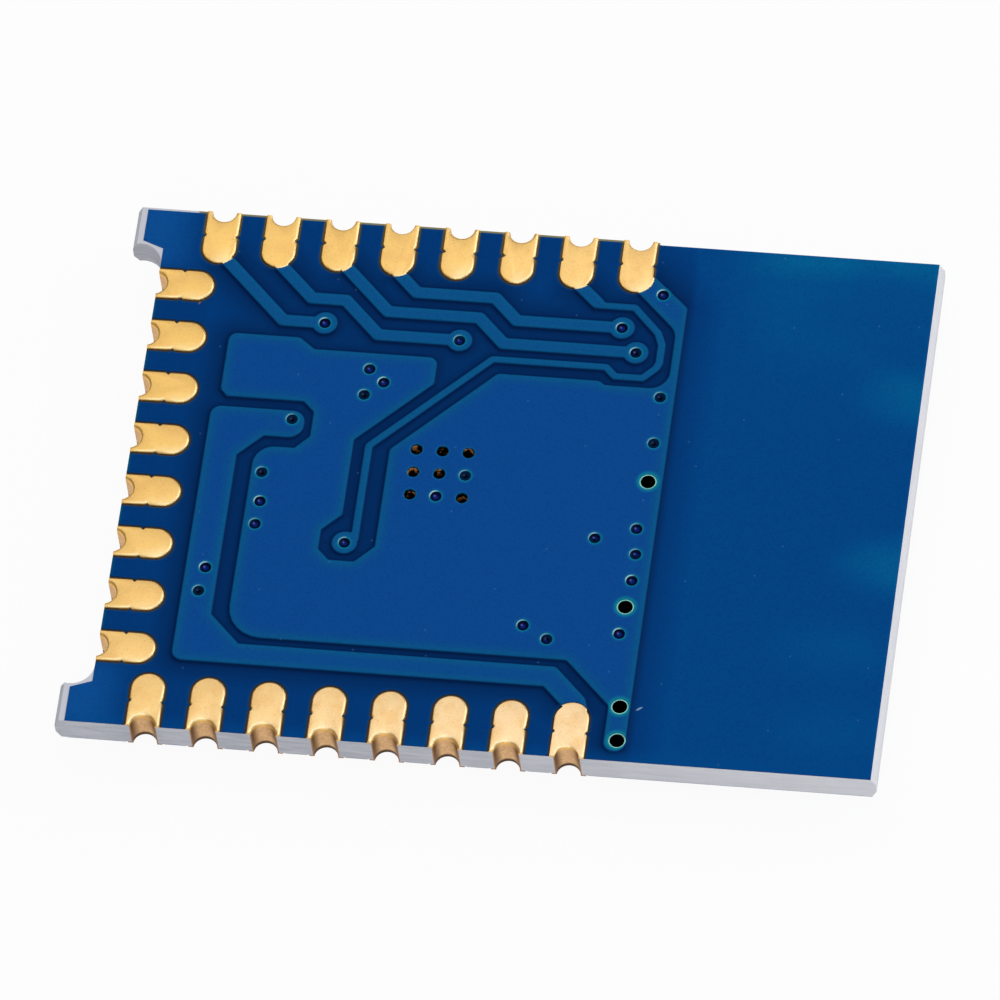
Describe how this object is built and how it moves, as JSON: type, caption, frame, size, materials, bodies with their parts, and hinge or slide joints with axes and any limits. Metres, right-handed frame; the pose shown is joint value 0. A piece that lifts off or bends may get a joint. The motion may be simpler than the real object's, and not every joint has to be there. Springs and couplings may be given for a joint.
{
  "type": "wireless radio module",
  "caption": "Small blue circuit board with plated half-holes on three edges, a radio chip and crystals underneath and a printed antenna at one end.",
  "frame": {"origin": "under the middle of the board's outline, on the surface that the radio chip's top rests on", "axes": "+X towards the antenna end, +Y towards the edge whose pads carry tracks, +Z out of the solder side"},
  "size_m": [0.0204, 0.0148, 0.0018],
  "materials": {
    "laminate": "cut glass-epoxy, pale grey",
    "solder_mask": "semi-gloss blue film",
    "bare_copper": "copper under the mask",
    "gold_plating": "satin gold plating",
    "moulded_package": "matt black moulding",
    "tin_plating": "matt tin",
    "crystal_ceramic": "dark fired ceramic",
    "crystal_lid": "satin metal lid",
    "capacitor_ceramic": "tan fired ceramic with tin ends",
    "resistor_body": "black glazed ceramic with tin ends",
    "inductor_ceramic": "pale ceramic with tin ends",
    "solder": "reflowed solder"
  },
  "bodies": {
    "root": {"substrate": "laminate", "pad_side_mask": "solder_mask", "component_side_mask": "solder_mask", "ground_pour": "bare_copper", "power_pour": "bare_copper", "signal_track_1": "bare_copper", "signal_track_2": "bare_copper", "signal_track_3": "bare_copper", "signal_track_4": "bare_copper", "control_track": "bare_copper", "component_copper": "bare_copper", "antenna_trace": "bare_copper", "tented_vias": "bare_copper", "thermal_vias": "bare_copper", "terminal_1": "gold_plating", "terminal_2": "gold_plating", "terminal_3": "gold_plating", "terminal_4": "gold_plating", "terminal_5": "gold_plating", "terminal_6": "gold_plating", "terminal_7": "gold_plating", "terminal_8": "gold_plating", "terminal_9": "gold_plating", "terminal_10": "gold_plating", "terminal_11": "gold_plating", "terminal_12": "gold_plating", "terminal_13": "gold_plating", "terminal_14": "gold_plating", "terminal_15": "gold_plating", "terminal_16": "gold_plating", "terminal_17": "gold_plating", "terminal_18": "gold_plating", "terminal_19": "gold_plating", "terminal_20": "gold_plating", "terminal_21": "gold_plating", "terminal_22": "gold_plating", "terminal_23": "gold_plating", "terminal_24": "gold_plating", "open_vias": "gold_plating", "radio_chip_body": "moulded_package", "radio_chip_leads": "tin_plating", "main_crystal_base": "crystal_ceramic", "clock_crystal_base": "crystal_ceramic", "main_crystal_lid": "crystal_lid", "clock_crystal_lid": "crystal_lid", "capacitor_1": "capacitor_ceramic", "capacitor_2": "capacitor_ceramic", "capacitor_3": "capacitor_ceramic", "capacitor_4": "capacitor_ceramic", "capacitor_5": "capacitor_ceramic", "capacitor_6": "capacitor_ceramic", "capacitor_7": "capacitor_ceramic", "capacitor_8": "capacitor_ceramic", "capacitor_9": "capacitor_ceramic", "resistor_1": "resistor_body", "resistor_2": "resistor_body", "inductor_1": "inductor_ceramic", "inductor_2": "inductor_ceramic", "solder_joints": "solder"}
  },
  "joints": []
}
